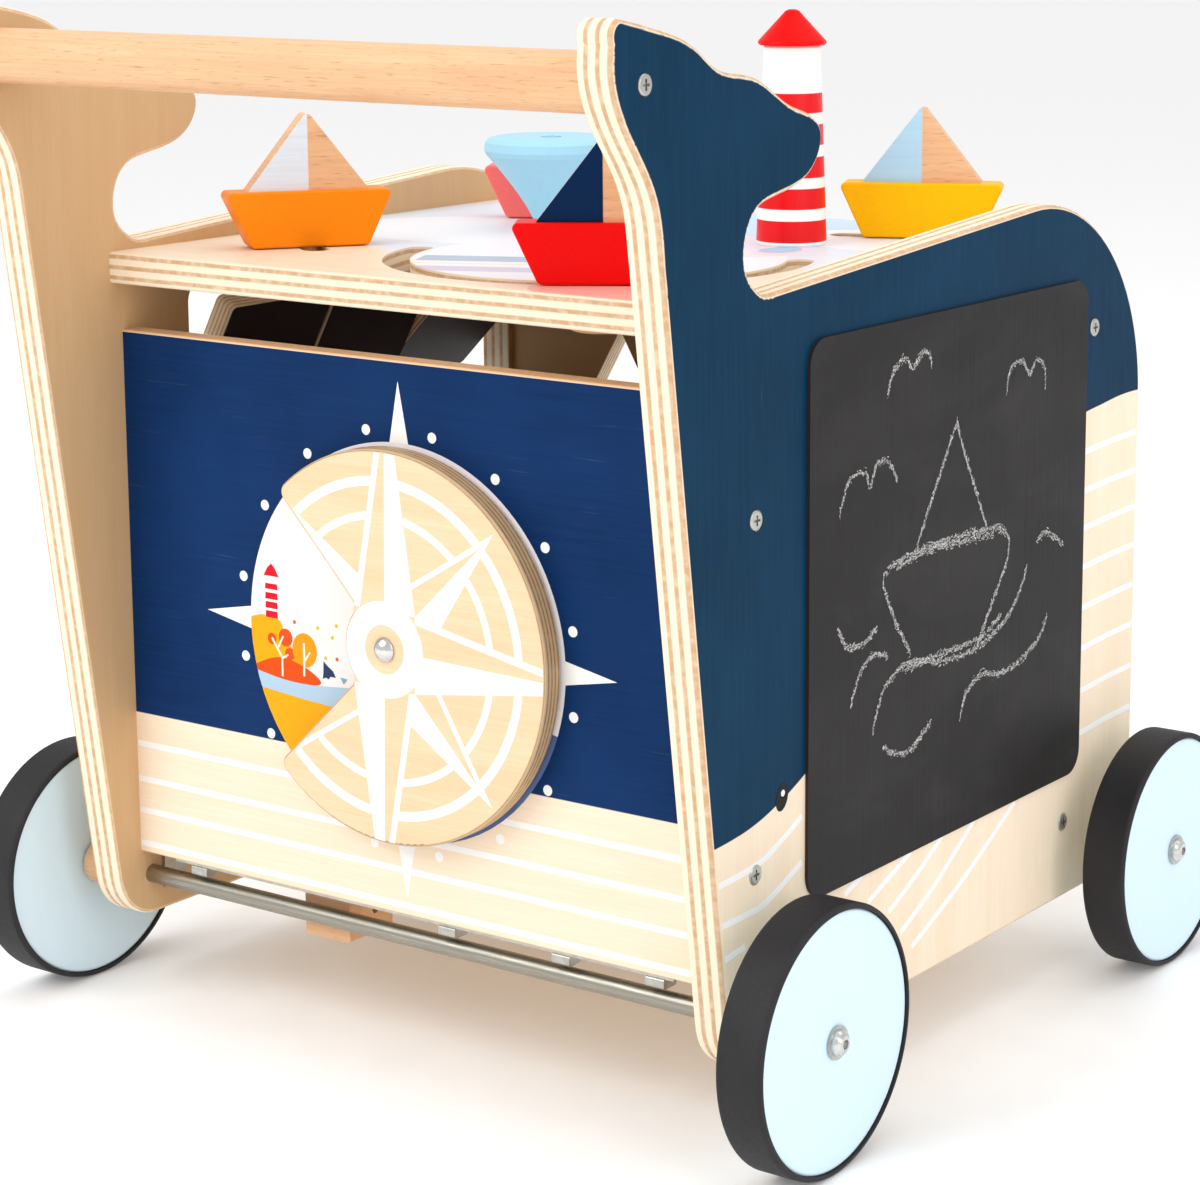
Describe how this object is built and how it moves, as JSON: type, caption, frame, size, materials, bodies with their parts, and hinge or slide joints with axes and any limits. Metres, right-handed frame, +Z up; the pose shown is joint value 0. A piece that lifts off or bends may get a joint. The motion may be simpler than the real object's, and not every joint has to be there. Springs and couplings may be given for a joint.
{
  "type": "baby walker",
  "caption": "Wooden push-along activity walker with a turning compass, flip tiles, sliding boats, a chalkboard side and rubber-tyred wheels.",
  "frame": {"origin": "on the ground, at the middle of the length and of the width", "axes": "+X to the right seen from behind the handle, +Y forwards in the direction of travel, +Z up"},
  "size_m": [0.4716, 0.4827, 0.494],
  "materials": {
    "navy_ply": "matte paint over birch ply, printed",
    "birch_ply": "clear matte lacquer",
    "printed_ply": "screen print over clear lacquer",
    "compass_ply": "clear lacquer with white print",
    "chalk_face": "matte black board paint",
    "beech": "oiled beech",
    "zinc_steel": "zinc plated",
    "polished_steel": "polished",
    "tyre": "soft black rubber",
    "wheel_blue": "satin paint",
    "tile_paint": "satin paint, ply edges",
    "red_paint": "satin paint",
    "orange_paint": "satin paint",
    "yellow_paint": "satin paint",
    "pink_paint": "satin paint",
    "knob_blue": "satin paint",
    "sail_navy": "half painted beech",
    "sail_white": "half painted beech",
    "sail_blue": "half painted beech",
    "tower_paint": "white paint with red bands"
  },
  "bodies": {
    "frame": {"side_panel_right": "navy_ply", "side_panel_left": "navy_ply", "chalkboard": "chalk_face", "rear_panel": "navy_ply", "front_panel": "birch_ply", "top_board": "printed_ply", "floor_board": "birch_ply", "handle_bar": "beech", "handle_screws": "zinc_steel", "side_screws": "zinc_steel", "rear_axle": "zinc_steel", "front_axle": "zinc_steel", "wheel_spacers": "beech", "wheel_bolts": "zinc_steel", "wheel_washers": "zinc_steel", "compass_pin": "zinc_steel", "compass_cap": "polished_steel", "compass_washer": "zinc_steel", "tile_rods": "zinc_steel", "knob_screw": "zinc_steel", "lighthouse_tower": "tower_paint", "lighthouse_roof": "red_paint", "axle_block": "beech", "rear_rail": "zinc_steel", "rail_clips": "zinc_steel", "corner_brackets": "zinc_steel"},
    "rear_left_wheel": {"rear_left_wheel_disc": "wheel_blue", "rear_left_tyre": "tyre"},
    "rear_right_wheel": {"rear_right_wheel_disc": "wheel_blue", "rear_right_tyre": "tyre"},
    "front_left_wheel": {"front_left_wheel_disc": "wheel_blue", "front_left_tyre": "tyre"},
    "front_right_wheel": {"front_right_wheel_disc": "wheel_blue", "front_right_tyre": "tyre"},
    "compass": {"compass_disc": "compass_ply"},
    "knob": {"whirl_knob": "knob_blue"},
    "tile_1_1": {"tile_1_1": "tile_paint"},
    "tile_1_2": {"tile_1_2": "tile_paint"},
    "tile_1_3": {"tile_1_3": "tile_paint"},
    "tile_2_1": {"tile_2_1": "tile_paint"},
    "tile_2_2": {"tile_2_2": "tile_paint"},
    "tile_2_3": {"tile_2_3": "tile_paint"},
    "tile_3_1": {"tile_3_1": "tile_paint"},
    "tile_3_2": {"tile_3_2": "tile_paint"},
    "tile_3_3": {"tile_3_3": "tile_paint"},
    "red_boat": {"red_hull": "red_paint", "red_sail": "sail_navy", "red_boat_peg": "beech"},
    "orange_boat": {"orange_hull": "orange_paint", "orange_sail": "sail_white", "orange_boat_peg": "beech"},
    "yellow_boat": {"yellow_hull": "yellow_paint", "yellow_sail": "sail_blue", "yellow_boat_peg": "beech"},
    "pink_boat": {"pink_hull": "pink_paint", "pink_boat_peg": "beech"}
  },
  "joints": [
    {"name": "rear_left_roll", "type": "hinge", "parent": "frame", "child": "rear_left_wheel", "pos_m": [-0.2205, -0.141, 0.06], "axis": [1, 0, 0], "continuous": true},
    {"name": "rear_right_roll", "type": "hinge", "parent": "frame", "child": "rear_right_wheel", "pos_m": [0.2205, -0.141, 0.06], "axis": [1, 0, 0], "continuous": true},
    {"name": "front_left_roll", "type": "hinge", "parent": "frame", "child": "front_left_wheel", "pos_m": [-0.2205, 0.181, 0.06], "axis": [1, 0, 0], "continuous": true},
    {"name": "front_right_roll", "type": "hinge", "parent": "frame", "child": "front_right_wheel", "pos_m": [0.2205, 0.181, 0.06], "axis": [1, 0, 0], "continuous": true},
    {"name": "compass_turn", "type": "hinge", "parent": "frame", "child": "compass", "pos_m": [0, -0.155, 0.203], "axis": [0, 1, 0], "continuous": true},
    {"name": "knob_spin", "type": "hinge", "parent": "frame", "child": "knob", "pos_m": [-0.0615, 0.0465, 0.39], "axis": [0, 0, 1], "continuous": true},
    {"name": "tile_1_1_flip", "type": "hinge", "parent": "frame", "child": "tile_1_1", "pos_m": [-0.181, -0.048, 0.308], "axis": [0, 1, 0], "continuous": true},
    {"name": "tile_1_2_flip", "type": "hinge", "parent": "frame", "child": "tile_1_2", "pos_m": [-0.181, 0.03, 0.308], "axis": [0, 1, 0], "continuous": true},
    {"name": "tile_1_3_flip", "type": "hinge", "parent": "frame", "child": "tile_1_3", "pos_m": [-0.181, 0.108, 0.308], "axis": [0, 1, 0], "continuous": true},
    {"name": "tile_2_1_flip", "type": "hinge", "parent": "frame", "child": "tile_2_1", "pos_m": [-0.181, -0.048, 0.2285], "axis": [0, 1, 0], "continuous": true},
    {"name": "tile_2_2_flip", "type": "hinge", "parent": "frame", "child": "tile_2_2", "pos_m": [-0.181, 0.03, 0.2285], "axis": [0, 1, 0], "continuous": true},
    {"name": "tile_2_3_flip", "type": "hinge", "parent": "frame", "child": "tile_2_3", "pos_m": [-0.181, 0.108, 0.2285], "axis": [0, 1, 0], "continuous": true},
    {"name": "tile_3_1_flip", "type": "hinge", "parent": "frame", "child": "tile_3_1", "pos_m": [-0.181, -0.048, 0.149], "axis": [0, 1, 0], "continuous": true},
    {"name": "tile_3_2_flip", "type": "hinge", "parent": "frame", "child": "tile_3_2", "pos_m": [-0.181, 0.03, 0.149], "axis": [0, 1, 0], "continuous": true},
    {"name": "tile_3_3_flip", "type": "hinge", "parent": "frame", "child": "tile_3_3", "pos_m": [-0.181, 0.108, 0.149], "axis": [0, 1, 0], "continuous": true},
    {"name": "red_boat_sail", "type": "hinge", "parent": "frame", "child": "red_boat", "pos_m": [0.033, -0.04, 0.372], "axis": [0, 0, 1], "range_deg": [-116, 78]},
    {"name": "orange_boat_sail", "type": "slide", "parent": "frame", "child": "orange_boat", "axis": [0.8387, -0.5446, 0], "range_m": [-0.008, 0.016]},
    {"name": "yellow_boat_sail", "type": "slide", "parent": "frame", "child": "yellow_boat", "axis": [0.9397, 0.342, 0], "range_m": [-0.04, 0.01]},
    {"name": "pink_boat_sail", "type": "slide", "parent": "frame", "child": "pink_boat", "axis": [0.9848, 0.1736, 0], "range_m": [-0.02, 0.02]}
  ]
}
